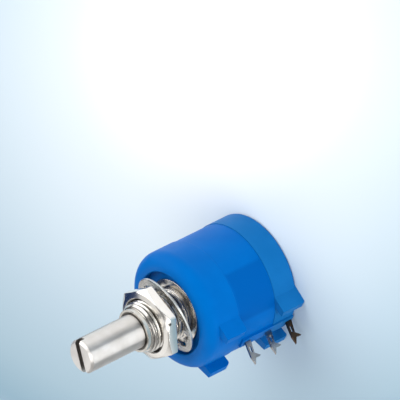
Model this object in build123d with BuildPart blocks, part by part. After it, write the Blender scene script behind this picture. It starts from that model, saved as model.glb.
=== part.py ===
from build123d import *

import math
import os

# Ten-turn wirewound potentiometer with a threaded bushing, in millimetres.
# +Z runs along the shaft towards its slotted end, and the feet and terminals are on the -Y side.
# The origin is on the shaft's axis, in the plane of the housing's front rim.
# At rest the wiper stands at the element's start, next to the front wall.

# Housing and rear lid
case_radius = 11.11
case_length = 20.25
collar_length = 6.8
step_depth = 0.12
dish_depth = 1.3
dish_edge_round = 0.25
rim_flat = 0.56
front_wall = 1.3
lid_length = 5.05
lid_wall = 1.2
lid_skirt = 0.735
lid_edge_round = 0.5
seam_chamfer = 0.12
tongue_length = 1.2
tongue_thickness = 0.75
joint_fit = 0.05

# Feet, and the pad that the terminals come out of
foot_inner = 4.75
foot_thickness = 1.3
foot_reach = 0.79
foot_setback = 2.15
foot_corner = 0.8
lid_foot_corner = 0.4
foot_draft = 12.0
pad_width = 2.2
pad_reach = 0.29
pad_front_margin = 1.4
pad_end_margin = 0.4

# Bushing
thread_radius = 4.76
bushing_reach = 7.6
bushing_lead = 0.9
bushing_lead_depth = 0.6
thread_pitch = 25.4 / 32
thread_depth = 0.42
thread_crest = 0.15
bore_clearance = 0.025
flange_radius = 6.1
flange_thickness = 1.0
flange_proud = 0.2
flange_round = 0.15
stake_radius = 5.5
stake_thickness = 0.4

# Shaft
shaft_radius = 3.175
shaft_reach = 20.62
shaft_chamfer = 0.4
slot_width = 1.2
slot_depth = 1.4
slot_angle = 45.0
core_radius = 2.2
core_flat = 1.7
shoulder_depth = 0.6
journal_radius = 1.5
journal_clearance = 0.03
journal_length = 2.3
journal_end_play = 0.2
running_gap = 0.03

# Retaining ring and thrust washer
ring_radius = 4.05
ring_thickness = 0.7
groove_radius = 2.85
ring_opening = 50.0
ring_opening_direction = 160.0
thrust_radius = 5.2
thrust_thickness = 0.25

# Mounting nut
nut_across_flats = 12.7
nut_thickness = 2.2
nut_standoff = 0.8
nut_face_radius = 6.15
nut_chamfer_angle = 30.0
nut_countersink = 0.5
thread_clearance = 0.04

# Lock washer with twisted internal teeth, lying loose and aslant in the housing's dish
washer_radius = 7.6
washer_play = 0.3
washer_thickness = 0.5
washer_rim = 1.25
tooth_count = 12
tooth_clearance = 0.59
tooth_root_depth = 0.3
tooth_width = 1.2
tooth_twist = 14.0
first_tooth = 16.7
washer_tilt = 14.3
washer_high_side = 7.8
rest_gap = 0.05

# Resistance element: an insulated mandrel, closely wound with fine wire, laid in ten turns
turns = 10
wire_radius = 0.34
wire_sides = 6
element_fit = 0.05
overrun_angle = 10.0

# Rotor with the guide for the wiper carriage, contact rail and collector ring
rotor_edge = 0.3
rotor_end_wall = 0.7
guide_width = 3.2
guide_cover = 0.325
guide_clearance = 0.05
rail_width = 1.2
rail_thickness = 0.3
collector_gap = 0.6
collector_width = 2.2
collector_thickness = 0.25

# Wiper carriage, whose nose straddles the element and follows it like a thread
carriage_length = 2.0
carriage_proud = 1.7
carriage_lift = 0.2
end_clearance = 0.15
nose_relief = 0.2
nose_height = 0.65
nose_width = 2.6
nose_slot = 1.0
nose_clearance = 0.08
groove_half_angle = 15.0

# Spring leaves: the wiper contact on the carriage and the collector brush on its terminal
leaf_thickness = 0.15
leaf_width = 0.8
leaf_gap = 0.02
tip_half_length = 0.12
brush_width = 1.2
brush_thickness = 0.2
brush_contact_length = 0.9
brush_foot = 0.4

# End stops for the carriage, and the lid's boss for the shaft's rear journal
stop_width = 1.2
stop_rotor_gap = 0.4
stop_below_top = 0.3
stop_overlap = 0.8
stop_gap = 0.1
boss_radius = 2.6

# Terminals, stamped from strip
terminal_thickness = 0.5
terminal_width = 1.25
terminal_neck = 0.9
terminal_spacing = 4.78
terminal_rear_margin = 1.3
terminal_lean = 20.0
terminal_length = 3.4
tip_length = 1.45
barb_length = 0.85
eye_width = 0.4
eye_length = 1.5
arm_cover = 0.14
arm_height = 0.6
riser_width = 0.8
stub_reach = 0.575
stub_width = 0.8

# Places along the shaft's axis, worked out from the sizes above
flange_top = flange_proud - dish_depth
flange_seat = flange_top - flange_thickness
cavity_front = flange_seat - front_wall
stake_back = cavity_front - stake_thickness
thrust_front = stake_back - running_gap
thrust_back = thrust_front - thrust_thickness
rotor_front = thrust_back - running_gap
ring_back = bushing_reach + running_gap
seam = lid_length - case_length
tongue_end = seam - tongue_length
lid_floor = lid_wall - case_length
journal_end = lid_floor + journal_end_play
rotor_back = journal_end + journal_length
boss_top = rotor_back - running_gap
collector_back = rotor_back - collector_thickness
guide_end = rotor_back + rotor_end_wall
start_z = thrust_back - end_clearance - leaf_thickness - leaf_gap - carriage_length / 2
end_z = guide_end + end_clearance + carriage_length / 2
pitch = (start_z - end_z) / turns

# Radii worked out from the sizes above
dish_radius = washer_radius + washer_play
rim_round = case_radius - dish_radius - dish_edge_round - rim_flat
body_radius = case_radius - step_depth
foot_bottom = case_radius + foot_reach
pad_bottom = case_radius + pad_reach
tongue_radius = case_radius - lid_skirt - joint_fit
bore_radius = tongue_radius - tongue_thickness
helix_radius = bore_radius - element_fit - wire_radius
nose_top = helix_radius - nose_relief
nose_length = 2 * (pitch - wire_radius - nose_clearance)
carriage_top = nose_top - nose_height
rotor_radius = carriage_top - carriage_proud
guide_floor = shaft_radius + guide_cover
collector_inner = boss_radius + collector_gap
collector_outer = collector_inner + collector_width
rail_top = guide_floor + rail_thickness
tooth_root = washer_radius - washer_rim
tooth_length = tooth_root + tooth_root_depth - thread_radius - tooth_clearance

# Places across the shaft's axis, and the slants of the loose washer
carriage_width = guide_width - 2 * guide_clearance
stop_offset = carriage_width / 2 + stop_gap + stop_width / 2
stop_inner = rotor_radius + stop_rotor_gap
stop_outer = carriage_top - stop_below_top
tilt = math.radians(washer_tilt)
high_side = math.radians(washer_high_side)
nut_corner_radius = nut_across_flats / 2 / math.cos(math.pi / 6)
washer_half_height = washer_thickness / 2 / math.cos(tilt)
washer_centre = (
    rest_gap - dish_depth + washer_radius * math.sin(tilt) + washer_thickness / 2 * math.cos(tilt)
)
nut_back = (
    washer_centre
    + nut_corner_radius * math.cos(math.pi / 6 - high_side) * math.tan(tilt)
    + washer_half_height
    + nut_standoff
)

# Terminals, from the front: the element's start, the element's end and the wiper
terminal_places = [
    terminal_rear_margin - case_length + steps * terminal_spacing for steps in (2, 1, 0)
]
arm_top = body_radius - arm_cover - arm_height
stub_top = bore_radius - stub_reach

os.makedirs("parts", exist_ok=True)


def finish(builder, name):
    """Label a finished piece and write it to its own file."""
    builder.part.label = name
    export_step(builder.part, f"parts/{name}.step")


def element_line(first_angle, last_angle):
    """The element's centre line between two angles of clockwise turn from its start, in degrees."""
    with BuildLine() as line:
        Helix(
            pitch=pitch,
            height=pitch * (last_angle - first_angle) / 360,
            radius=helix_radius,
            center=(0, 0, start_z - pitch * last_angle / 360),
        )
    return line.line.rotate(Axis.Z, -90 - last_angle)


def square_to(line):
    """The plane across a helical line's lower end, with its X pointing away from the shaft."""
    end = line @ 0
    return Plane(origin=end, x_dir=(end.X, end.Y, 0), z_dir=line % 0)


def foot(side, front, back, corner):
    """One foot: square in front, rounded at its rear corner, with its outer side drafted."""
    outer = foot_inner + foot_thickness
    draft = (foot_bottom - foot_inner) * math.tan(math.radians(foot_draft))
    with BuildPart() as made:
        with BuildSketch(Plane.YZ.offset(side * foot_inner)) as outline:
            with BuildLine():
                Polyline(
                    (-foot_inner, front),
                    (-foot_bottom, front),
                    (-foot_bottom, back),
                    (-foot_inner, back),
                    close=True,
                )
            make_face()
            fillet(outline.vertices().group_by(Axis.X)[0].sort_by(Axis.Y)[0], corner)
        extrude(amount=side * (foot_thickness + draft))
        with BuildSketch(Plane.XY.offset(front)):
            with BuildLine():
                Polyline(
                    (side * foot_inner, -foot_inner),
                    (side * foot_inner, -foot_bottom),
                    (side * outer, -foot_bottom),
                    (side * (outer + draft), -foot_inner),
                    close=True,
                )
            make_face()
        extrude(amount=back - front, mode=Mode.INTERSECT)
    return made.part


def terminal_outline(place):
    """The part of a terminal that shows: a leaning strip with an eye, a barb and a pointed tip."""
    lean = math.radians(terminal_lean)
    strip = Plane(
        origin=(0, -pad_bottom, place),
        x_dir=(0, -math.sin(lean), -math.cos(lean)),
        z_dir=(1, 0, 0),
    )
    half = terminal_width / 2
    neck = terminal_neck / 2
    with BuildSketch(strip) as outline:
        with BuildLine():
            Polyline(
                (-half, half),
                (-neck, -terminal_length),
                (0, -terminal_length - tip_length),
                (neck, -terminal_length),
                (half + barb_length, -terminal_length + barb_length / 3),
                (neck, -terminal_length + barb_length),
                (half, half),
                close=True,
            )
        make_face()
        with Locations((0, -terminal_length / 2)):
            SlotOverall(eye_length, eye_width, rotation=90, mode=Mode.SUBTRACT)
    return outline.sketch


def leaf_outline(thickness, *points):
    """A bent spring leaf seen from the side, from the points of its middle line."""
    with BuildSketch(Plane.YZ) as outline:
        with BuildLine() as middle:
            Polyline(*points)
        trace(middle.line, line_width=thickness)
    return outline.sketch


# Terminals at the element's two ends: an arm in the wall runs to a riser that meets the element
end_terminals = {}
for name, place, riser in (
    ("terminal_ccw", terminal_places[0], start_z),
    ("terminal_cw", terminal_places[1], end_z),
):
    arm_front = max(place + terminal_width / 2, riser + riser_width / 2)
    arm_back = min(place - terminal_width / 2, riser - riser_width / 2)
    riser_top = bore_radius - element_fit / 2
    with BuildPart() as terminal:
        extrude(terminal_outline(place), amount=terminal_thickness / 2, both=True)
        with BuildSketch(Plane.YZ):
            with Locations((-arm_top - arm_height / 2, (arm_front + arm_back) / 2)):
                Rectangle(arm_height, arm_front - arm_back)
            with Locations((-(arm_top + pad_bottom) / 2, place)):
                Rectangle(pad_bottom - arm_top, terminal_width)
            with Locations((-(arm_top + riser_top) / 2, riser)):
                Rectangle(arm_top - riser_top, riser_width)
        extrude(amount=terminal_thickness / 2, both=True)
    finish(terminal, name)
    end_terminals[name] = terminal.part

# Wiper terminal in the rear lid, with a stub inside that carries the collector brush
stub_front = terminal_places[2] + terminal_width / 2
with BuildPart() as terminal_wiper:
    extrude(terminal_outline(terminal_places[2]), amount=terminal_thickness / 2, both=True)
    with BuildSketch(Plane.YZ):
        with Locations((-(stub_top + pad_bottom) / 2, stub_front - stub_width / 2)):
            Rectangle(pad_bottom - stub_top, stub_width)
    extrude(amount=terminal_thickness / 2, both=True)
finish(terminal_wiper, "terminal_wiper")

# Housing: collar, body and tongue are turned, then come the feet, the pad and the hollow inside
with BuildPart() as housing:
    with BuildSketch(Plane.XZ) as outside:
        with BuildLine():
            Polyline(
                (0, 0),
                (case_radius, 0),
                (case_radius, -collar_length),
                (body_radius, -collar_length),
                (body_radius, seam),
                (tongue_radius, seam),
                (tongue_radius, tongue_end),
                (0, tongue_end),
                close=True,
            )
        make_face()
        fillet(outside.vertices().group_by(Axis.Y)[-1].sort_by(Axis.X)[-1], rim_round)
    revolve(axis=Axis.Z)
    for side in (-1, 1):
        add(foot(side, -foot_setback, -collar_length, foot_corner))
    pad_front = terminal_places[0] + pad_front_margin
    with BuildSketch(Plane.XY.offset(pad_front)):
        with Locations((0, -pad_bottom / 2)):
            Rectangle(pad_width, pad_bottom)
    extrude(amount=seam - pad_front)
    with BuildSketch(Plane.XZ):
        with BuildLine():
            Polyline(
                (0, 0),
                (dish_radius, 0),
                (dish_radius, -dish_depth),
                (flange_radius + joint_fit, -dish_depth),
                (flange_radius + joint_fit, flange_seat),
                (thread_radius, flange_seat),
                (thread_radius, cavity_front),
                (bore_radius, cavity_front),
                (bore_radius, tongue_end),
                (0, tongue_end),
                close=True,
            )
        make_face()
    revolve(axis=Axis.Z, mode=Mode.SUBTRACT)
    rim_edges = housing.edges().filter_by(GeomType.CIRCLE).group_by(Axis.Z)[-1]
    fillet(rim_edges.sort_by(SortBy.RADIUS)[0], dish_edge_round)
    with BuildSketch(Plane.XY.offset(cavity_front)):
        with Locations((stop_offset, -(stop_inner + stop_outer) / 2)):
            Rectangle(stop_width, stop_outer - stop_inner)
    extrude(amount=start_z + carriage_length / 2 - stop_overlap - cavity_front)
    for terminal in end_terminals.values():
        add(terminal, mode=Mode.SUBTRACT)
finish(housing, "housing")

# Rear lid: a cap over the housing's tongue, with its own feet, a journal boss and the rear stop
with BuildPart() as rear_lid:
    with BuildSketch(Plane.XZ) as outside:
        with Locations((case_radius / 2, -case_length + lid_length / 2)):
            Rectangle(case_radius, lid_length)
        corners = outside.vertices().group_by(Axis.X)[-1].sort_by(Axis.Y)
        fillet(corners[0], lid_edge_round)
        chamfer(corners[-1], seam_chamfer)
    revolve(axis=Axis.Z)
    for side in (-1, 1):
        add(foot(side, seam, -case_length, lid_foot_corner))
    with BuildSketch(Plane.XY.offset(seam)):
        with Locations((0, -pad_bottom / 2)):
            Rectangle(pad_width, pad_bottom)
    extrude(amount=pad_end_margin - lid_length)
    with BuildSketch(Plane.XZ):
        with BuildLine():
            Polyline(
                (0, seam),
                (tongue_radius + joint_fit, seam),
                (tongue_radius + joint_fit, tongue_end - joint_fit),
                (bore_radius, tongue_end - joint_fit),
                (bore_radius, lid_floor),
                (boss_radius, lid_floor),
                (boss_radius, boss_top),
                (journal_radius + journal_clearance, boss_top),
                (journal_radius + journal_clearance, lid_floor),
                (0, lid_floor),
                close=True,
            )
        make_face()
    revolve(axis=Axis.Z, mode=Mode.SUBTRACT)
    with BuildSketch(Plane.XY.offset(lid_floor)):
        with Locations((-stop_offset, -(stop_inner + stop_outer) / 2)):
            Rectangle(stop_width, stop_outer - stop_inner)
    extrude(amount=end_z - carriage_length / 2 + stop_overlap - lid_floor)
    add(terminal_wiper.part, mode=Mode.SUBTRACT)
finish(rear_lid, "rear_lid")

# Bushing, staked through the front wall. Ring grooves at the thread's pitch stand for its thread
lead_start = bushing_reach - bushing_lead
groove_count = int((lead_start - flange_top) / thread_pitch)
groove_half_width = (thread_pitch - thread_crest) / 2
with BuildPart() as bushing:
    with BuildSketch(Plane.XZ) as section:
        with BuildLine():
            Polyline(
                (shaft_radius + bore_clearance, stake_back),
                (stake_radius, stake_back),
                (stake_radius, cavity_front),
                (thread_radius, cavity_front),
                (thread_radius, flange_seat),
                (flange_radius, flange_seat),
                (flange_radius, flange_top),
                (thread_radius, flange_top),
                (thread_radius, lead_start),
                (thread_radius - bushing_lead_depth, bushing_reach),
                (shaft_radius + bore_clearance, bushing_reach),
                close=True,
            )
        make_face()
        fillet(section.vertices().group_by(Axis.X)[-1].sort_by(Axis.Y)[-1], flange_round)
        with Locations(
            *[(thread_radius, lead_start - (i + 0.5) * thread_pitch) for i in range(groove_count)]
        ):
            Polygon(
                (0, groove_half_width),
                (-thread_depth, 0),
                (0, -groove_half_width),
                align=None,
                mode=Mode.SUBTRACT,
            )
    revolve(axis=Axis.Z)
finish(bushing, "bushing")

# Shaft: slotted tip, groove for the retaining ring, core with a flat inside the rotor, rear journal
with BuildPart() as shaft:
    with BuildSketch(Plane.XZ) as section:
        with BuildLine():
            Polyline(
                (0, shaft_reach),
                (shaft_radius, shaft_reach),
                (shaft_radius, ring_back + ring_thickness),
                (groove_radius, ring_back + ring_thickness),
                (groove_radius, ring_back),
                (shaft_radius, ring_back),
                (shaft_radius, rotor_front - shoulder_depth),
                (core_radius, rotor_front - shoulder_depth),
                (core_radius, rotor_back),
                (journal_radius, rotor_back),
                (journal_radius, journal_end),
                (0, journal_end),
                close=True,
            )
        make_face()
        chamfer(section.vertices().group_by(Axis.Y)[-1].sort_by(Axis.X)[-1], shaft_chamfer)
    revolve(axis=Axis.Z)
    with BuildSketch(Plane.XY.offset(rotor_front - shoulder_depth)):
        with Locations((0, core_flat + core_radius)):
            Rectangle(2 * core_radius, 2 * core_radius)
    extrude(amount=rotor_back - rotor_front + shoulder_depth, mode=Mode.SUBTRACT)
    with BuildSketch(Plane.XY.offset(shaft_reach)):
        Rectangle(3 * shaft_radius, slot_width, rotation=slot_angle)
    extrude(amount=-slot_depth, mode=Mode.SUBTRACT)
finish(shaft, "shaft")

# Retaining ring in the shaft's groove, in front of the bushing
opening_half_width = 2 * ring_radius * math.tan(math.radians(ring_opening / 2))
with BuildPart() as retaining_ring:
    with BuildSketch(Plane.XY.offset(ring_back)):
        Circle(ring_radius)
        Circle(groove_radius, mode=Mode.SUBTRACT)
        with BuildLine(Plane.XY.rotated((0, 0, ring_opening_direction))):
            Polyline(
                (0, 0),
                (2 * ring_radius, -opening_half_width),
                (2 * ring_radius, opening_half_width),
                close=True,
            )
        make_face(mode=Mode.SUBTRACT)
    extrude(amount=ring_thickness)
finish(retaining_ring, "retaining_ring")

# Thrust washer between the staked end of the bushing and the rotor
with BuildPart() as thrust_washer:
    with BuildSketch(Plane.XY.offset(thrust_back)):
        Circle(thrust_radius)
        Circle(shaft_radius + joint_fit, mode=Mode.SUBTRACT)
    extrude(amount=thrust_thickness)
finish(thrust_washer, "thrust_washer")

# Contact rail along the guide's floor, through the rotor's end wall to the collector ring
with BuildPart() as contact_rail:
    with BuildSketch(Plane.XY.offset(rotor_back)):
        with Locations((0, -(guide_floor + rail_top) / 2)):
            Rectangle(rail_width, rail_thickness)
    extrude(amount=rotor_front - rotor_back - end_clearance)
finish(contact_rail, "contact_rail")

# Collector ring on the rotor's rear face
with BuildPart() as collector_ring:
    with BuildSketch(Plane.XY.offset(collector_back)):
        Circle(collector_outer)
        Circle(collector_inner, mode=Mode.SUBTRACT)
    extrude(amount=collector_thickness)
finish(collector_ring, "collector_ring")

# Rotor, moulded round the shaft's core and slotted to guide the carriage
with BuildPart() as rotor:
    with BuildSketch(Plane.XY.offset(rotor_back)):
        Circle(rotor_radius)
    extrude(amount=rotor_front - rotor_back)
    chamfer(rotor.edges().filter_by(GeomType.CIRCLE), rotor_edge)
    with BuildSketch(Plane.XY.offset(guide_end)):
        with Locations((0, -guide_floor - rotor_radius / 2)):
            Rectangle(guide_width, rotor_radius)
    extrude(amount=rotor_front - guide_end, mode=Mode.SUBTRACT)
    add(shaft.part, mode=Mode.SUBTRACT)
    add(contact_rail.part, mode=Mode.SUBTRACT)
finish(rotor, "rotor")

# Resistance element
with BuildPart() as resistance_element:
    element_run = element_line(-overrun_angle, turns * 360 + overrun_angle)
    with BuildSketch(square_to(element_run)):
        RegularPolygon(wire_radius, wire_sides)
    sweep(path=element_run, is_frenet=True)
finish(resistance_element, "resistance_element")

# Wiper carriage: a block in the rotor's guide with a grooved nose on the element
carriage_bottom = rail_top + carriage_lift
with BuildPart() as wiper_carriage:
    with BuildSketch(Plane.YZ):
        with Locations((-(carriage_bottom + carriage_top) / 2, start_z)):
            Rectangle(carriage_top - carriage_bottom, carriage_length)
    extrude(amount=carriage_width / 2, both=True)
    with BuildSketch(Plane.YZ):
        with Locations((-(carriage_top + nose_top) / 2, start_z)):
            Rectangle(nose_top - carriage_top, nose_length)
    extrude(amount=nose_width / 2, both=True)
    with BuildSketch(Plane.YZ):
        with Locations((-(carriage_top + nose_top) / 2, start_z + nose_length / 4)):
            Rectangle(nose_top - carriage_top, nose_length)
    extrude(amount=nose_slot / 2, both=True, mode=Mode.SUBTRACT)
    groove_run = element_line(-groove_half_angle, groove_half_angle)
    with BuildSketch(square_to(groove_run)):
        Circle(wire_radius + nose_clearance)
    sweep(path=groove_run, is_frenet=True, mode=Mode.SUBTRACT)
finish(wiper_carriage, "wiper_carriage")

# Wiper contact: a leaf from the rail, up the carriage's front and over it to the element
leaf_middle = leaf_gap + leaf_thickness / 2
leaf_front = start_z + carriage_length / 2 + leaf_middle
leaf_over = carriage_top + leaf_middle
leaf_tip = helix_radius - wire_radius - leaf_middle
with BuildPart() as wiper_contact:
    leaf = leaf_outline(
        leaf_thickness,
        (-rail_top - leaf_middle, start_z - carriage_length / 4),
        (-rail_top - leaf_middle, leaf_front),
        (-leaf_over, leaf_front),
        (-leaf_over, start_z + leaf_tip - leaf_over + tip_half_length),
        (-leaf_tip, start_z + tip_half_length),
        (-leaf_tip, start_z - tip_half_length),
    )
    extrude(leaf, amount=leaf_width / 2, both=True)
finish(wiper_contact, "wiper_contact")

# Collector brush: a leaf on the wiper terminal's stub, bent up to the collector ring
brush_level = collector_back - leaf_gap - brush_thickness / 2
ring_middle = (collector_inner + collector_outer) / 2
with BuildPart() as collector_brush:
    leaf = leaf_outline(
        brush_thickness,
        (-bore_radius + end_clearance, stub_front + brush_thickness / 2),
        (brush_foot - stub_top, stub_front + brush_thickness / 2),
        (-ring_middle - brush_contact_length / 2, brush_level),
        (-ring_middle + brush_contact_length / 2, brush_level),
    )
    extrude(leaf, amount=brush_width / 2, both=True)
finish(collector_brush, "collector_brush")

# Mounting nut: hexagon chamfered in front, countersunk bore
nut_front = nut_back + nut_thickness
nut_fall = (nut_corner_radius - nut_face_radius) * math.tan(math.radians(nut_chamfer_angle))
with BuildPart() as mounting_nut:
    with BuildSketch(Plane.XY.offset(nut_back)):
        RegularPolygon(nut_corner_radius, 6, rotation=30)
        Circle(thread_radius + thread_clearance, mode=Mode.SUBTRACT)
    extrude(amount=nut_thickness)
    bore_edges = mounting_nut.edges().filter_by(GeomType.CIRCLE).sort_by(Axis.Z)
    chamfer(bore_edges[-1], nut_countersink)
    with BuildSketch(Plane.XZ):
        with BuildLine():
            Polyline(
                (0, nut_back),
                (nut_corner_radius, nut_back),
                (nut_corner_radius, nut_front - nut_fall),
                (nut_face_radius, nut_front),
                (0, nut_front),
                close=True,
            )
        make_face()
    revolve(axis=Axis.Z, mode=Mode.INTERSECT)
finish(mounting_nut, "mounting_nut")

# Lock washer on its slanting plane
washer_plane = Plane(
    origin=(0, 0, washer_centre),
    x_dir=(
        math.cos(tilt) * math.cos(high_side),
        math.cos(tilt) * math.sin(high_side),
        math.sin(tilt),
    ),
    z_dir=(
        -math.sin(tilt) * math.cos(high_side),
        -math.sin(tilt) * math.sin(high_side),
        math.cos(tilt),
    ),
)
with BuildPart(washer_plane) as lock_washer:
    with BuildSketch(washer_plane):
        Circle(washer_radius)
        Circle(tooth_root, mode=Mode.SUBTRACT)
    extrude(amount=washer_thickness / 2, both=True)
    with PolarLocations(
        tooth_root + tooth_root_depth - tooth_length / 2, tooth_count, start_angle=first_tooth
    ):
        Box(tooth_length, tooth_width, washer_thickness, rotation=(tooth_twist, 0, 0))
finish(lock_washer, "lock_washer")
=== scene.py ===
"""The looks of a ten-turn panel potentiometer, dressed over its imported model, in metres.

+Z runs along the shaft towards its slotted end, and the feet and terminals are on the -Y side.
"""

import math

import bmesh
import bpy
import numpy as np
from mathutils import Matrix, Vector


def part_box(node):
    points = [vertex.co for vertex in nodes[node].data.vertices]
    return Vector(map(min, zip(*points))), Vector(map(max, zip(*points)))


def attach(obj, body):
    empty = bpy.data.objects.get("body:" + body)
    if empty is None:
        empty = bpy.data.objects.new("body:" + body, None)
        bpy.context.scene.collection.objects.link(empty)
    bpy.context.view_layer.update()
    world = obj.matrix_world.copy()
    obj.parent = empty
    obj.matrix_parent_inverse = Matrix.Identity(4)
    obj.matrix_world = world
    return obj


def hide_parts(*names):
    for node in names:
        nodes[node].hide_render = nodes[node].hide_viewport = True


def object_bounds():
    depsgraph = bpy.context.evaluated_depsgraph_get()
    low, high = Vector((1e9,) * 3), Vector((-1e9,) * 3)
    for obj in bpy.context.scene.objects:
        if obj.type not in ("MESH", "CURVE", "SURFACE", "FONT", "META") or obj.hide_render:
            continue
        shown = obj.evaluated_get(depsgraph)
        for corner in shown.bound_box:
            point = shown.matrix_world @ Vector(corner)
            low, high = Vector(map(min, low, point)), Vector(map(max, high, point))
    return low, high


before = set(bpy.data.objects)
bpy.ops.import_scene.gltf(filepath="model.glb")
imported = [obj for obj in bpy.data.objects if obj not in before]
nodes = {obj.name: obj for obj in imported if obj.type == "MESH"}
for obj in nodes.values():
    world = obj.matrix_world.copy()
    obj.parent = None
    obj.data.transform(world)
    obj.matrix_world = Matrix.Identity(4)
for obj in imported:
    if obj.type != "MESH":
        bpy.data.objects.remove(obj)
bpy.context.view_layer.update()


# Camera. It looks at the terminals' side from in front and above, rolled so that the shaft points
# down to the left, and from far off through a long lens, so that parallel edges stay parallel.


mm = 0.001

view_azimuth = math.radians(67.7)
view_elevation = math.radians(32.7)
view_roll = math.radians(-116.0)
view_distance = 1.5
view_width = 70.8 * mm
axis_shift = 5.4 * mm
axis_drop = 20.08 * mm
sensor_width = 36.0

back = Vector(
    (
        math.sin(view_azimuth) * math.cos(view_elevation),
        -math.cos(view_azimuth) * math.cos(view_elevation),
        math.sin(view_elevation),
    )
)
level = Vector((math.cos(view_azimuth), math.sin(view_azimuth), 0))
right = level * math.cos(view_roll) + back.cross(level) * math.sin(view_roll)
up = back.cross(right)
camera_data = bpy.data.cameras.new("camera")
camera_data.sensor_width = sensor_width
camera_data.lens = sensor_width * view_distance / view_width
camera_data.clip_start = 0.05
camera_data.clip_end = 20
camera = bpy.data.objects.new("camera", camera_data)
camera.matrix_world = (
    Matrix.Translation(right * axis_shift + up * axis_drop + back * view_distance)
    @ Matrix((right, up, back)).transposed().to_4x4()
)
bpy.context.scene.collection.objects.link(camera)
bpy.context.scene.camera = camera
bpy.context.scene.view_settings.view_transform = "Standard"


# Housing. One injection moulding in blue glass-filled polyester: collar, body, two front feet and
# the pad for two terminals. Its skin is smooth and satin. The field on its side where such a case
# is printed is left bare, and shows only as a slightly deeper tone.


def linear(hex_colour):
    """An sRGB colour such as "#0a66c0" as linear red, green, blue and alpha."""
    values = [int(hex_colour[i : i + 2], 16) / 255 for i in (1, 3, 5)]
    return [v / 12.92 if v <= 0.04045 else ((v + 0.055) / 1.055) ** 2.4 for v in values] + [1]


def add_node(tree, kind, inputs=(), **settings):
    """A node with its settings, and its inputs by name or number: each a value, node or socket.

    A node given as an input is linked from the first of its outputs that is in use. In a mix of
    colours, input 0 is the second colour's share, and inputs 6 and 7 are the two colours.
    """
    made = tree.nodes.new(kind)
    for key, value in settings.items():
        setattr(made, key, value)
    for key, value in dict(inputs).items():
        if isinstance(value, bpy.types.Node):
            value = next(output for output in value.outputs if output.enabled)
        if isinstance(value, bpy.types.NodeSocket):
            tree.links.new(value, made.inputs[key])
        else:
            made.inputs[key].default_value = value
    return made


def new_material(name):
    """An empty material, its node tree and its Object coordinates."""
    material = bpy.data.materials.new(name)
    material.use_nodes = True
    tree = material.node_tree
    tree.nodes.clear()
    return material, tree, add_node(tree, "ShaderNodeTexCoord").outputs["Object"]


def around_axis(tree, place):
    """The bearing about the shaft's axis, in radians from +X, and the height along it."""
    axes = add_node(tree, "ShaderNodeSeparateXYZ", {"Vector": place}).outputs
    bearing = add_node(tree, "ShaderNodeMath", {0: axes["Y"], 1: axes["X"]}, operation="ARCTAN2")
    return bearing, axes["Z"]


def label_field(tree, place):
    """1 inside the bare field, fading softly to 0 outside it.

    It is the least of four ramps, one at each side of a rectangle of bearing and height.
    """
    first_bearing, last_bearing, turn_blur = math.radians(-62), math.radians(-13), 0.03
    rear, front, height_blur = -15.1 * mm, -7.1 * mm, 0.3 * mm
    bearing, height = around_axis(tree, place)
    least = 1.0
    for value, limit, inwards in (
        (bearing, first_bearing, turn_blur),
        (bearing, last_bearing, -turn_blur),
        (height, rear, height_blur),
        (height, front, -height_blur),
    ):
        side = {"Value": value, "From Min": limit - inwards, "From Max": limit + inwards}
        ramp = add_node(tree, "ShaderNodeMapRange", side)
        least = add_node(tree, "ShaderNodeMath", {0: least, 1: ramp}, operation="MINIMUM")
    return least


def blue_polyester(name, skin, deep, field_tone=None):
    """Blue glass-filled polyester, injection moulded: satin, over a very fine spark texture.

    The moulding's flow clouds its colour and gloss faintly, and a bevel in the shading rounds its
    edges. The noise keeps mostly between 0.3 and 0.7, which is spread over the whole change.
    """
    flow_size = 5.0 * mm
    spark_size = 0.11 * mm
    spark_depth = 0.02 * mm
    spark_strength = 0.08
    edge_rounding = 0.1 * mm
    material, tree, place = new_material(name)
    flow = add_node(tree, "ShaderNodeTexNoise", {"Vector": place, "Scale": 1 / flow_size})
    clouds = {"Value": flow, "From Min": 0.3, "From Max": 0.7}
    tones = {0: add_node(tree, "ShaderNodeMapRange", {**clouds, "To Max": 0.6})}
    tones |= {6: linear(skin), 7: linear(deep)}
    colour = add_node(tree, "ShaderNodeMix", tones, data_type="RGBA")
    if field_tone:
        tones = {0: label_field(tree, place), 6: colour, 7: linear(field_tone)}
        colour = add_node(tree, "ShaderNodeMix", tones, data_type="RGBA")
    satin = {**clouds, "To Min": 0.4, "To Max": 0.48}
    spark = add_node(tree, "ShaderNodeTexNoise", {"Vector": place, "Scale": 1 / spark_size})
    relief = {"Strength": spark_strength, "Distance": spark_depth, "Height": spark}
    relief["Normal"] = add_node(tree, "ShaderNodeBevel", {"Radius": edge_rounding}, samples=6)
    surface = {
        "Base Color": colour,
        "Roughness": add_node(tree, "ShaderNodeMapRange", satin),
        "IOR": 1.5,
        "Specular IOR Level": 0.12,
        "Specular Tint": linear("#2090ff"),
        "Normal": add_node(tree, "ShaderNodeBump", relief),
    }
    shader = add_node(tree, "ShaderNodeBsdfPrincipled", surface)
    add_node(tree, "ShaderNodeOutputMaterial", {"Surface": shader})
    return material


def dress(thing, material):
    """Give a piece or a carried-over node its only material."""
    thing.data.materials.clear()
    thing.data.materials.append(material)


dress(
    nodes["housing"],
    blue_polyester("moulded_polyester_body", "#0067b9", "#005faf", "#0059a8"),
)


# Rear lid. A cap of the same polyester, moulded apart and pressed over the housing's tongue, with
# the rear feet and the pad's end. Its batch of plastic is a little lighter than the housing's.


dress(nodes["rear_lid"], blue_polyester("moulded_polyester_lid", "#166db0", "#1065a6"))


# Bushing. Turned from brass and nickel-plated, with a fine thread, 32 to the inch, from the flange
# in the housing's dish to a long lead at its end. It is staked through the housing's front wall.


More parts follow.
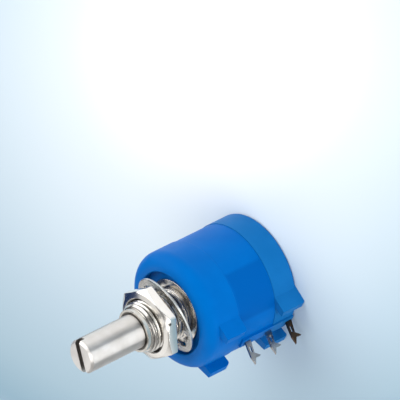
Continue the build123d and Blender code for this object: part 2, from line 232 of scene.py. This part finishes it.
def rounded(corners, roundings, steps=3):
    """Outlines with an arc at each corner, one outline for each row of corners (radius, height).

    Each arc is a parabola: it leaves the corner's two sides at one reach from the corner, and the
    reach is the rounding divided by the tangent of half the angle between the sides.
    """
    corners = np.asarray(corners, float)
    corners = corners.reshape(-1, *corners.shape[-2:])
    before = np.roll(corners, 1, axis=1) - corners
    after = np.roll(corners, -1, axis=1) - corners
    before /= np.linalg.norm(before, axis=2, keepdims=True)
    after /= np.linalg.norm(after, axis=2, keepdims=True)
    half_angle = np.arccos(np.clip((before * after).sum(axis=2), -0.9999, 0.9999)) / 2
    reach = (np.asarray(roundings) / np.tan(half_angle))[:, :, None, None]
    t = np.linspace(0, 1, steps + 1)[None, None, :, None]
    arcs = corners[:, :, None] + reach * (
        (1 - t) ** 2 * before[:, :, None] + t**2 * after[:, :, None]
    )
    return arcs.reshape(len(corners), -1, 2)


def turned(outlines, angles):
    """A grid of points: outlines of (radius, height), turned to angles about the shaft's axis.

    One outline serves all the angles, or each angle has its own.
    """
    outlines = np.broadcast_to(outlines, (len(angles), *outlines.shape[1:]))
    radius, height = outlines[..., 0], outlines[..., 1]
    angles = angles[:, None]
    return np.stack([radius * np.cos(angles), radius * np.sin(angles), height], axis=-1)


def full_turn(count):
    """Angles spaced evenly round a full turn."""
    return np.linspace(0, 2 * math.pi, count, endpoint=False)


def soften(piece):
    """Smooth shading that keeps flat faces flat, and edges sharper than 35 degrees sharp."""
    piece.data.polygons.foreach_set("use_smooth", [True] * len(piece.data.polygons))
    piece.data.set_sharp_from_angle(angle=math.radians(35))
    flatten = piece.modifiers.new("flat faces", "WEIGHTED_NORMAL")
    flatten.keep_sharp = True


def add_piece(name, grid, body, node):
    """A piece from a grid of points that closes both ways.

    Each point starts a face to the next row and column. The piece rides on a body and stands for a
    CAD node, which it hides.
    """
    merge_distance = 1e-7
    rows, columns = grid.shape[:2]
    row, column = np.meshgrid(np.arange(rows), np.arange(columns), indexing="ij")
    next_row, next_column = (row + 1) % rows, (column + 1) % columns
    corners = [(row, column), (next_row, column), (next_row, next_column), (row, next_column)]
    faces = np.stack([r * columns + c for r, c in corners], axis=-1).reshape(-1, 4)
    mesh = bpy.data.meshes.new(name)
    mesh.from_pydata(grid.reshape(-1, 3).tolist(), [], faces.tolist())
    clean = bmesh.new()
    clean.from_mesh(mesh)
    bmesh.ops.remove_doubles(clean, verts=clean.verts, dist=merge_distance)
    bmesh.ops.dissolve_degenerate(clean, edges=clean.edges, dist=merge_distance)
    bmesh.ops.recalc_face_normals(clean, faces=clean.faces)
    clean.to_mesh(mesh)
    clean.free()
    piece = bpy.data.objects.new(name, mesh)
    bpy.context.scene.collection.objects.link(piece)
    soften(piece)
    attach(piece, body)
    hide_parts(node)
    return piece


def worked_metal(name, bright, dull, gloss, marks=None, along_axis=0.0, shade_and_wear=None):
    """Plated or bare metal that reflects the room, with faint stains that also dull it.

    The marks are a tool's: their size in mm, their stretch and their strength. On a ground rod
    they draw reflections out along the axis, so its gloss is anisotropic. The last argument is a
    function that gives where painted shade darkens the metal's crevices, and where the nut is
    nicked.
    """
    stain_size = 2.4 * mm
    edge_rounding = 0.05 * mm
    mark_depth = 0.01 * mm
    # Painted shade in grooves, gaps and the slot, and the nut's nick, take this dark colour.
    shade_and_wear_colour = linear("#2b2722")
    quarter_turn = 0.25
    material, tree, place = new_material(name)
    stain = {"Vector": place, "Scale": 1 / stain_size, "Detail": 5.0}
    stain = add_node(tree, "ShaderNodeTexNoise", stain)
    patches = {"Value": stain, "From Min": 0.3, "From Max": 0.7}
    tones = {0: add_node(tree, "ShaderNodeMapRange", {**patches, "To Max": 0.7})}
    tones |= {6: linear(bright), 7: linear(dull)}
    colour = add_node(tree, "ShaderNodeMix", tones, data_type="RGBA")
    # Mix in the painted shade, and the nick's wear, where the mask gives it.
    if shade_and_wear:
        tones = {0: shade_and_wear(tree, place), 6: colour, 7: shade_and_wear_colour}
        colour = add_node(tree, "ShaderNodeMix", tones, data_type="RGBA")
    dulled = {**patches, "To Min": gloss * 0.9, "To Max": gloss * 1.15}
    surface = {
        "Base Color": colour,
        "Metallic": 1.0,
        "Roughness": add_node(tree, "ShaderNodeMapRange", dulled),
        "Normal": add_node(tree, "ShaderNodeBevel", {"Radius": edge_rounding}, samples=6),
    }
    if marks:
        size, stretch, strength = marks
        drawn = add_node(tree, "ShaderNodeMapping", {"Vector": place, "Scale": stretch})
        cuts = add_node(tree, "ShaderNodeTexNoise", {"Vector": drawn, "Scale": 1 / (size * mm)})
        relief = {"Strength": strength, "Distance": mark_depth, "Height": cuts}
        relief["Normal"] = surface["Normal"]
        surface["Normal"] = add_node(tree, "ShaderNodeBump", relief)
    if along_axis:
        surface["Anisotropic"] = along_axis
        surface["Anisotropic Rotation"] = quarter_turn
        surface["Tangent"] = add_node(
            tree, "ShaderNodeTangent", direction_type="RADIAL", axis="Z"
        )
    shader = add_node(tree, "ShaderNodeBsdfPrincipled", surface)
    add_node(tree, "ShaderNodeOutputMaterial", {"Surface": shader})
    return material


def painted_shade_inside(dark_radius, unshaded_radius):
    """Painted shade that fills a groove or gap: nearly full at one radius in mm and gone at the
    other.
    """
    darkest = 0.9

    def shade_and_wear(tree, place):
        across = {0: place, 1: (1, 1, 0)}
        across = add_node(tree, "ShaderNodeVectorMath", across, operation="MULTIPLY")
        radius = add_node(tree, "ShaderNodeVectorMath", {0: across}, operation="LENGTH")
        fade = {"From Min": dark_radius * mm, "From Max": unshaded_radius * mm}
        fade |= {"To Min": darkest, "To Max": 0.0}
        return add_node(tree, "ShaderNodeMapRange", {"Value": radius, **fade})

    return shade_and_wear


low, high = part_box("bushing")
thread_radius = 4.76 * mm
thread_pitch = 25.4 * mm / 32
thread_depth = 0.613 * thread_pitch
thread_phase = 0.2
root_flat = 0.12
crest_flat = 0.16
points_per_pitch = 15
points_per_turn = 180
lead_length = 0.9 * mm
lead_depth = 0.6 * mm
bore_radius = 3.2 * mm
stake_radius = 5.5 * mm
flange_top = -1.1 * mm
flange_seat = -2.1 * mm
stake_front = -3.4 * mm
edge = 0.06 * mm

# The thread's radius falls from crest to root with the distance from the nearest crest, which
# climbs by one pitch for each turn. Both are flat over a share of the half pitch between them, and
# both fade into the flange and the lead.
angles = full_turn(points_per_turn)
thread_heights = np.arange(flange_top, high.z, thread_pitch / points_per_pitch)[1:]
turns = thread_heights / thread_pitch - angles[:, None] / (2 * math.pi) + thread_phase
from_crest = 2 * np.abs(turns - np.round(turns))
fullness = np.clip((1 - root_flat - from_crest) / (1 - root_flat - crest_flat), 0, 1)
run_out = np.clip((thread_heights - flange_top) / thread_pitch, 0, 1)
lead = np.clip((thread_heights - high.z + lead_length) / lead_length, 0, 1) * lead_depth
thread = np.minimum(thread_radius - thread_depth * (1 - fullness * run_out), thread_radius - lead)
inside = rounded(
    [
        (thread_radius - lead_depth, high.z),
        (bore_radius, high.z),
        (bore_radius, low.z),
        (stake_radius, low.z),
        (stake_radius, stake_front),
        (thread_radius, stake_front),
        (thread_radius, flange_seat),
        (high.x, flange_seat),
        (high.x, flange_top),
        (thread_radius - thread_depth, flange_top),
    ],
    [edge / 2, edge, edge, edge, 0, 0, 0, edge, 2 * edge, 0],
)
outlines = np.concatenate(
    [
        np.repeat(inside, len(angles), axis=0),
        np.stack([thread, np.broadcast_to(thread_heights, thread.shape)], axis=-1),
    ],
    axis=1,
)
bushing = add_piece(
    "threaded_bushing", turned(outlines, angles), "case", "bushing"
)


def thread_root_shade(tree, place):
    """Painted shade in the thread's root: the height in pitches less the bearing in turns, as
    above.

    It deepens with the distance from the nearest crest, in turns, and stops at the flange.
    """
    unshaded_until, full_shade_from, darkest = 0.26, 0.4, 0.85
    bearing, height = around_axis(tree, place)
    climb = {0: height, 1: 1 / thread_pitch, 2: thread_phase}
    climb = add_node(tree, "ShaderNodeMath", climb, operation="MULTIPLY_ADD")
    turns = {0: bearing, 1: -1 / (2 * math.pi), 2: climb}
    turns = add_node(tree, "ShaderNodeMath", turns, operation="MULTIPLY_ADD")
    from_crest = add_node(tree, "ShaderNodeMath", {0: turns, 1: 0.5}, operation="PINGPONG")
    deep = {"Value": from_crest, "From Min": unshaded_until, "From Max": full_shade_from}
    deep = add_node(tree, "ShaderNodeMapRange", {**deep, "To Max": darkest})
    inside_flange = painted_shade_inside(4.8, 4.9)(tree, place)
    return add_node(tree, "ShaderNodeMath", {0: deep, 1: inside_flange}, operation="MULTIPLY")


# The lathe leaves rings about 0.01 mm apart, which soften the plating's shine.
turning_marks = (0.12, (1, 1, 12), 0.12)
# The thread's roots are darkened with painted shade.
dress(
    bushing,
    worked_metal(
        "nickel_plated_bushing", "#e0ddd8", "#c6c0b6", 0.21, turning_marks, shade_and_wear=thread_root_shade
    ),
)


# Shaft. Ground nickel-plated brass rod with a screwdriver slot across its chamfered end, a groove
# for the retaining ring, a flatted core inside the rotor and a thin journal in the lid.


def cut_away(piece, size, place):
    """Cut a block out of a piece, and leave the cut in its mesh."""
    block_mesh = bpy.data.meshes.new("block")
    block = bmesh.new()
    bmesh.ops.create_cube(block, size=1, matrix=place @ Matrix.Diagonal(size).to_4x4())
    block.to_mesh(block_mesh)
    block.free()
    cutter = bpy.data.objects.new("block", block_mesh)
    bpy.context.scene.collection.objects.link(cutter)
    piece.modifiers.clear()
    cut = piece.modifiers.new("cut", "BOOLEAN")
    cut.operation = "DIFFERENCE"
    cut.solver = "EXACT"
    cut.object = cutter
    shaped = piece.evaluated_get(bpy.context.evaluated_depsgraph_get())
    piece.data = bpy.data.meshes.new_from_object(shaped)
    piece.modifiers.clear()
    bpy.data.objects.remove(cutter)
    soften(piece)


low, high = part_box("shaft")
ring_low, ring_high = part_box("retaining_ring")
rotor_low, rotor_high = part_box("rotor")
shaft_radius = high.x
tip_level = high.z
groove_radius = 2.85 * mm
core_radius = 2.2 * mm
core_flat = 1.7 * mm
journal_radius = 1.5 * mm
shoulder = rotor_high.z - 0.6 * mm
tip_chamfer = 0.4 * mm
slot_width = 1.2 * mm
slot_depth = 1.4 * mm
slot_bearing = math.radians(45)
points_per_turn = 144
outline = rounded(
    [
        (0, tip_level),
        (shaft_radius - tip_chamfer, tip_level),
        (shaft_radius, tip_level - tip_chamfer),
        (shaft_radius, ring_high.z),
        (groove_radius, ring_high.z),
        (groove_radius, ring_low.z),
        (shaft_radius, ring_low.z),
        (shaft_radius, shoulder),
        (core_radius, shoulder),
        (core_radius, rotor_low.z),
        (journal_radius, rotor_low.z),
        (journal_radius, low.z),
        (0, low.z),
    ],
    [0, edge, edge, edge, 0, 0, edge, edge, 0, edge, 0, edge, 0],
)
bar = turned(outline, full_turn(points_per_turn))
shaft = add_piece("slotted_shaft", bar, "spindle", "shaft")
cut_away(
    shaft,
    Vector((3 * shaft_radius, slot_width, 2 * slot_depth)),
    Matrix.Translation((0, 0, tip_level)) @ Matrix.Rotation(slot_bearing, 4, "Z"),
)
cut_away(
    shaft,
    Vector((3 * core_radius, core_radius, shoulder - rotor_low.z)),
    Matrix.Translation((0, core_flat + core_radius / 2, (shoulder + rotor_low.z) / 2)),
)


def slot_shade(tree, place):
    """Painted shade between the planes of the slot's two walls and above its floor, and none
    elsewhere.
    """
    darkness = 0.5
    margin = 0.01 * mm
    turned_back = {"Vector": place, "Rotation": (0, 0, -slot_bearing)}
    turned_back = add_node(tree, "ShaderNodeMapping", turned_back)
    axes = add_node(tree, "ShaderNodeSeparateXYZ", {0: turned_back}).outputs
    aside = add_node(tree, "ShaderNodeMath", {0: axes["Y"]}, operation="ABSOLUTE")
    between = {0: aside, 1: slot_width / 2 + margin}
    between = add_node(tree, "ShaderNodeMath", between, operation="LESS_THAN")
    above = {0: axes["Z"], 1: tip_level - slot_depth - margin}
    above = add_node(tree, "ShaderNodeMath", above, operation="GREATER_THAN")
    inside = add_node(tree, "ShaderNodeMath", {0: between, 1: above}, operation="MULTIPLY")
    return add_node(tree, "ShaderNodeMath", {0: inside, 1: darkness}, operation="MULTIPLY")


# Grinding leaves rings about 0.01 mm apart, and facing leaves coarser marks with no one direction.
grinding_marks = (0.1, (1, 1, 8), 0.2)
facing_marks = (0.15, (1, 1, 1), 0.1)
# The slot is darkened with painted shade, on the rod and on its faced end.
dress(
    shaft,
    worked_metal(
        "ground_nickel_shaft", "#dcd8d4", "#cfcac4", 0.44, grinding_marks, 0.98, slot_shade
    ),
)
shaft.data.materials.append(
    worked_metal("faced_nickel_end", "#e4e1dd", "#d6d1cb", 0.36, facing_marks, shade_and_wear=slot_shade)
)
centres = np.empty((len(shaft.data.polygons), 3), np.float32)
shaft.data.polygons.foreach_get("center", centres.ravel())
at_end = centres[:, 2] > tip_level - tip_chamfer
shaft.data.polygons.foreach_set("material_index", at_end.astype(np.int32))


# Retaining ring. Stamped from spring steel, tumbled to a soft shine and snapped into the shaft's
# groove, where it bears on the bushing's end. Next to the shaft it is darkened with painted shade.


dress(
    nodes["retaining_ring"],
    worked_metal(
        "stamped_spring_steel", "#d4d1cb", "#aaa59a", 0.22, shade_and_wear=painted_shade_inside(3.55, 3.75)
    ),
)


# Thrust washer. Punched from rolled bronze strip. It lies loose on the shaft, between the bushing's
# staked end and the rotor, and takes the push on the shaft.


dress(nodes["thrust_washer"], worked_metal("rolled_bronze", "#c08f52", "#8c6434", 0.33))


# Lock washer. Stamped from zinc-plated spring steel, with twelve teeth inside its rim, each
# twisted out of its plane. It is loose, and lies aslant in the dish against the bushing.


low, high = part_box("lock_washer")
washer_tilt = math.radians(14.3)
high_side = math.radians(7.8)
outer_radius = 7.6 * mm
root_radius = 6.35 * mm
tip_radius = 5.35 * mm
tooth_count = 12
first_tooth = math.radians(16.7)
tooth_half_angle = math.radians(6.3)
flank = math.radians(1.2)
tooth_twist = math.radians(14)
twist_start = root_radius + 0.25 * mm
twist_fade = 0.5 * mm
half_thickness = 0.25 * mm
edge = 0.08 * mm
points_per_tooth = 36
points_across = 9

# The inner edge steps between the teeth's tips and roots with the bearing from the nearest tooth.
# Near the root and inside it, a tooth is lifted by its twist times the way along the washer's
# round. The grid runs out along the upper face and back along the lower one, which are drawn
# together at both edges.
angles = full_turn(tooth_count * points_per_tooth)
tooth_angle = 2 * math.pi / tooth_count
bearing = (angles - first_tooth + tooth_angle / 2) % tooth_angle - tooth_angle / 2
toothed = np.clip((tooth_half_angle - np.abs(bearing)) / flank + 0.5, 0, 1)
toothed = toothed**2 * (3 - 2 * toothed)
inner = (root_radius + (tip_radius - root_radius) * toothed)[:, None]
outwards = inner + (outer_radius - inner) * np.linspace(0, 1, points_across)
radius = np.concatenate([outwards, outwards[:, ::-1]], axis=1)
half_height = np.full(points_across, half_thickness)
half_height[[0, -1]] -= edge
height = np.concatenate([half_height, -half_height])
twisted = np.clip((twist_start - radius) / twist_fade, 0, 1)
swing = np.clip(bearing, -tooth_half_angle, tooth_half_angle)[:, None] * radius
lift = height + twisted * swing * math.tan(tooth_twist)
flat = np.stack(
    [radius * np.cos(angles)[:, None], radius * np.sin(angles)[:, None], lift], axis=-1
)
uphill = np.array(
    (
        math.cos(washer_tilt) * math.cos(high_side),
        math.cos(washer_tilt) * math.sin(high_side),
        math.sin(washer_tilt),
    )
)
facing = np.array(
    (
        -math.sin(washer_tilt) * math.cos(high_side),
        -math.sin(washer_tilt) * math.sin(high_side),
        math.cos(washer_tilt),
    )
)
slanted = flat @ np.stack([uphill, np.cross(facing, uphill), facing]) + np.array((low + high) / 2)
washer = add_piece("toothed_washer", slanted, "case", "lock_washer")

dress(washer, worked_metal("zinc_plated_washer", "#dad8d5", "#b3afa8", 0.24))


# Mounting nut. Turned and milled from brass bar and nickel-plated bright: a hexagon with a
# slightly crowned front, corners cut off by a cone, and a countersunk bore. One corner is nicked.


low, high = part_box("mounting_nut")
half_width = high.x
nut_bore = 4.8 * mm
countersink = 0.5 * mm
face_radius = 6.15 * mm
crown_fall = math.tan(math.radians(16))
cone_fall = math.tan(math.radians(30))
edge = 0.08 * mm
corner_blur = math.radians(2.2)
corner_wear = 0.1 * mm
points_per_turn = 360

# The side's radius is the half width over the cosine of the bearing from the nearest flat. Near a
# corner it is drawn in a little, and the cone lowers the shoulder where the side stands out.
angles = full_turn(points_per_turn)
from_flat = np.abs((angles + math.pi / 6) % (math.pi / 3) - math.pi / 6)
corner = np.clip((from_flat - math.pi / 6 + corner_blur) / corner_blur, 0, 1)
side = half_width / np.cos(from_flat) - corner_wear * corner**2
face_edge = high.z - (face_radius - nut_bore - countersink) * crown_fall
shoulder = face_edge - (side - face_radius) * cone_fall
corners = [
    (nut_bore, low.z),
    (nut_bore, high.z - countersink),
    (nut_bore + countersink, high.z),
    (face_radius, face_edge),
    (side, shoulder),
    (side, low.z),
]
corners = [np.stack(np.broadcast_arrays(*corner, side)[:2], axis=-1) for corner in corners]
outlines = rounded(
    np.stack(corners, axis=1), [edge, edge / 2, edge / 2, edge / 2, edge, edge]
)
nut = add_piece("hexagon_nut", turned(outlines, angles), "nut", "mounting_nut")


def countersink_shade_and_nick(tree, place):
    """Painted shade in the bore and its countersink, with the nick's dark wear: a spot that fades
    with the distance from it.
    """
    nick = (5.46 * mm, -4.1 * mm, 5.1 * mm)
    nick_radius, nick_end = 0.2 * mm, 0.42 * mm
    darkest = 0.9
    away = add_node(tree, "ShaderNodeVectorMath", {0: place, 1: nick}, operation="DISTANCE")
    spot = {"Value": away, "From Min": nick_radius, "From Max": nick_end}
    spot = add_node(tree, "ShaderNodeMapRange", {**spot, "To Min": darkest, "To Max": 0.0})
    gap = painted_shade_inside(5.0, 5.25)(tree, place)
    return add_node(tree, "ShaderNodeMath", {0: gap, 1: spot}, operation="MAXIMUM")


# The bore and countersink are darkened with painted shade, and the nick with dark wear.
dress(nut, worked_metal("bright_nickel_nut", "#e9e6e1", "#dcd7cf", 0.16, shade_and_wear=countersink_shade_and_nick))


# Resistance element. Fine resistance wire wound closely on an insulated mandrel, and the mandrel
# laid in ten turns against the housing's bore. The windings show as ribs, drawn four times as
# coarse as they are.


def close_winding(name, valley_shade, ridge):
    """Bare resistance wire in close windings: dull brown metal, ribbed across its run.

    The ribs are the sine of the bearing about the shaft's axis, times their number in a turn. Each
    rib darkens towards its valley with painted shade.
    """
    ribs_per_turn = 360
    rib_height = 0.03 * mm
    material, tree, place = new_material(name)
    bearing = around_axis(tree, place)[0]
    turns = {0: bearing, 1: ribs_per_turn}
    turns = add_node(tree, "ShaderNodeMath", turns, operation="MULTIPLY")
    ribs = add_node(tree, "ShaderNodeMath", {0: turns}, operation="SINE")
    crest = add_node(tree, "ShaderNodeMapRange", {"Value": ribs, "From Min": -1.0})
    tones = {0: crest, 6: linear(valley_shade), 7: linear(ridge)}
    shine = {"Value": crest, "To Min": 0.5, "To Max": 0.32}
    surface = {
        "Base Color": add_node(tree, "ShaderNodeMix", tones, data_type="RGBA"),
        "Metallic": 0.85,
        "Roughness": add_node(tree, "ShaderNodeMapRange", shine),
        "Normal": add_node(tree, "ShaderNodeBump", {"Distance": rib_height, "Height": crest}),
    }
    shader = add_node(tree, "ShaderNodeBsdfPrincipled", surface)
    add_node(tree, "ShaderNodeOutputMaterial", {"Surface": shader})
    return material


# The valleys between the windings are darkened with painted shade.
dress(nodes["resistance_element"], close_winding("wound_resistance_wire", "#4a3222", "#b0906f"))


# Rotor and carriage. Moulded in white acetal, smooth and slightly waxy. The rotor turns with the
# shaft, and the carriage slides in its guide while its grooved nose follows the element.


def white_acetal(name, bright, shade):
    """White acetal, moulded: smooth, slightly waxy, and faintly clouded."""
    cloud_size = 3.0 * mm
    light_reach = (0.4 * mm, 0.4 * mm, 0.3 * mm)
    material, tree, place = new_material(name)
    cloud = add_node(tree, "ShaderNodeTexNoise", {"Vector": place, "Scale": 1 / cloud_size})
    clouds = {"Value": cloud, "From Min": 0.3, "From Max": 0.7}
    tones = {0: add_node(tree, "ShaderNodeMapRange", clouds)}
    tones |= {6: linear(bright), 7: linear(shade)}
    shine = {**clouds, "To Min": 0.3, "To Max": 0.42}
    surface = {
        "Base Color": add_node(tree, "ShaderNodeMix", tones, data_type="RGBA"),
        "Roughness": add_node(tree, "ShaderNodeMapRange", shine),
        "IOR": 1.48,
        "Subsurface Weight": 0.1,
        "Subsurface Radius": light_reach,
    }
    shader = add_node(tree, "ShaderNodeBsdfPrincipled", surface)
    add_node(tree, "ShaderNodeOutputMaterial", {"Surface": shader})
    return material


dress(nodes["rotor"], white_acetal("moulded_acetal_rotor", "#eceae2", "#dedbd0"))
dress(nodes["wiper_carriage"], white_acetal("moulded_acetal_carriage", "#f1efe9", "#e2dfd6"))


# Contacts. The rail, ring, brush and wiper leaf carry the wiper's current. They are stamped from
# thin spring bronze and silver-plated, so they are pale and slightly yellow.


silver = worked_metal("silver_plated_bronze", "#dfdbcd", "#b8ab90", 0.22)
for contact in ("contact_rail", "collector_ring", "collector_brush", "wiper_contact"):
    dress(nodes[contact], silver)


# Terminals. Solder lugs stamped from brass strip, with an eye and a barb. The two at the element's
# ends are tinned grey. The rear one, for the wiper, has darkened to brown.


stamping_marks = (0.25, (1, 1, 1), 0.2)
tin = worked_metal("tinned_brass_lug", "#adacaa", "#7a7774", 0.27, stamping_marks)
dress(nodes["terminal_ccw"], tin)
dress(nodes["terminal_cw"], tin)
dress(nodes["terminal_wiper"], worked_metal("darkened_brass_lug", "#6a5341", "#352921", 0.36))


# Studio. A pale floor painted with a pool of light that fades from white to a light blue-grey, soft
# light from all round, and three lamps: a large one above, a low strip on the terminals' side, and
# one before the shaft.


def set_ramp(ramp, tones):
    """Give a colour ramp its (position, colour) stops. Its own two take the first and last."""
    stops = ramp.color_ramp.elements
    stops[0].color = tones[0][1]
    stops[1].color = tones[-1][1]
    for position, colour in tones:
        stops.new(position).color = colour


def pale_floor():
    """A wide plane under the part, with a painted pool of light: lightest at one place, deeper
    round it, and light beyond.

    Its tone follows the distance from its lightest point, and fades more slowly along one of its
    axes than across it.
    """
    floor_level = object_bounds()[0][2]
    floor_reach = 3.0
    lightest_place = (31.5 * mm, 26.7 * mm, 0)
    fade_axis = view_azimuth
    fade_across = 160 * mm
    fade_along = fade_across / math.sin(view_elevation)
    tones = (
        (0.09, linear("#ffffff")),
        (0.17, linear("#e5eff6")),
        (0.25, linear("#d3e2ec")),
        (0.33, linear("#bed2df")),
        (0.41, linear("#abc4d2")),
        (0.455, linear("#98b6c7")),
        (0.7, linear("#f4f8fb")),
    )
    mesh = bpy.data.meshes.new("floor")
    corners = [(-1, -1), (1, -1), (1, 1), (-1, 1)]
    points = [(x * floor_reach, y * floor_reach, floor_level) for x, y in corners]
    mesh.from_pydata(points, [], [(0, 1, 2, 3)])
    floor = bpy.data.objects.new("floor", mesh)
    bpy.context.scene.collection.objects.link(floor)
    material, tree, place = new_material("painted_floor")
    turned_axes = {
        "Vector": place,
        "Location": lightest_place,
        "Rotation": (0, 0, fade_axis),
        "Scale": (fade_across, fade_along, 1),
    }
    spread = add_node(tree, "ShaderNodeMapping", turned_axes, vector_type="TEXTURE")
    level_spread = {0: spread, 1: (1, 1, 0)}
    level_spread = add_node(tree, "ShaderNodeVectorMath", level_spread, operation="MULTIPLY")
    away = add_node(tree, "ShaderNodeVectorMath", {0: level_spread}, operation="LENGTH")
    fade = add_node(tree, "ShaderNodeValToRGB", {"Fac": away})
    set_ramp(fade, tones)
    surface = {"Base Color": fade, "Roughness": 0.8, "Specular IOR Level": 0.1}
    shader = add_node(tree, "ShaderNodeBsdfPrincipled", surface)
    add_node(tree, "ShaderNodeOutputMaterial", {"Surface": shader})
    mesh.materials.append(material)


def add_lamp(name, azimuth, elevation, width, height, strength):
    """A rectangular lamp in metres and degrees, at one distance from the part and aimed at it.

    The strength is the share of full light that it gives to a surface that faces it. That takes
    a power of the strength times pi squared times the distance squared.
    """
    distance = 0.35
    azimuth, elevation = math.radians(azimuth), math.radians(elevation)
    away = Vector(
        (
            math.cos(azimuth) * math.cos(elevation),
            math.sin(azimuth) * math.cos(elevation),
            math.sin(elevation),
        )
    )
    data = bpy.data.lights.new(name, "AREA")
    data.shape = "RECTANGLE"
    data.size = width
    data.size_y = height
    data.energy = strength * math.pi**2 * distance**2
    lamp = bpy.data.objects.new(name, data)
    aim = away.to_track_quat("Z", "Y").to_matrix().to_4x4()
    lamp.matrix_world = Matrix.Translation(away * distance) @ aim
    bpy.context.scene.collection.objects.link(lamp)


def studio_walls():
    """World light that varies round the horizon and darkens low down, with one dark blue corner.

    The levels are the light's strength at each bearing in degrees. Heights are sines of the
    elevation. The corner is where two ramps are both 1: one in the bearing and one in the height.
    """
    levels = (
        (-180, 0.95),
        (-158, 0.85),
        (-140, 0.45),
        (-112, 0.32),
        (-85, 0.2),
        (-55, 0.15),
        (-30, 0.15),
        (-16, 0.12),
        (8, 0.15),
        (45, 0.34),
        (75, 0.3),
        (105, 0.2),
        (120, 0.4),
        (135, 0.8),
        (158, 0.95),
        (180, 0.95),
    )
    dark_height, full_height, low_share = 0.1, 0.35, 0.45
    corner_colour = linear("#16305a")
    corner_bearing = math.radians(128)
    corner_reach, corner_top, corner_blur = 0.4, 0.64, 0.04
    brightness = 1.1
    world = bpy.data.worlds.new("studio")
    bpy.context.scene.world = world
    world.use_nodes = True
    tree = world.node_tree
    tree.nodes.clear()
    direction = add_node(tree, "ShaderNodeTexCoord").outputs["Generated"]
    bearing, height = around_axis(tree, direction)
    whole_turn = {"Value": bearing, "From Min": -math.pi, "From Max": math.pi}
    turn = add_node(tree, "ShaderNodeMapRange", whole_turn)
    walls = add_node(tree, "ShaderNodeValToRGB", {"Fac": turn})
    set_ramp(walls, [((degrees + 180) / 360, (v, v, v, 1)) for degrees, v in levels])
    rise = {"Value": height, "From Min": dark_height, "From Max": full_height}
    rise = add_node(tree, "ShaderNodeMapRange", {**rise, "To Min": low_share})
    walls = {0: walls.outputs["Color"], "Scale": rise}
    walls = add_node(tree, "ShaderNodeVectorMath", walls, operation="SCALE")
    aside = {0: bearing, 1: corner_bearing}
    aside = add_node(tree, "ShaderNodeMath", aside, operation="SUBTRACT")
    aside = add_node(tree, "ShaderNodeMath", {0: aside}, operation="ABSOLUTE")
    corner = 1.0
    for value, limit in ((aside, corner_reach), (height, corner_top)):
        fade = {"Value": value, "To Min": 1.0, "To Max": 0.0}
        fade |= {"From Min": limit - corner_blur, "From Max": limit + corner_blur}
        fade = add_node(tree, "ShaderNodeMapRange", fade)
        corner = add_node(tree, "ShaderNodeMath", {0: corner, 1: fade}, operation="MULTIPLY")
    tones = {0: corner, 6: walls, 7: corner_colour}
    colour = add_node(tree, "ShaderNodeMix", tones, data_type="RGBA")
    light = add_node(tree, "ShaderNodeBackground", {"Color": colour, "Strength": brightness})
    add_node(tree, "ShaderNodeOutputWorld", {"Surface": light})


pale_floor()
add_lamp("key_lamp", 66, 38, 0.6, 0.4, 1.25)
add_lamp("low_strip", -57, 5, 0.52, 0.08, 0.82)
add_lamp("front_lamp", -60, 62, 0.26, 0.26, 0.34)
studio_walls()
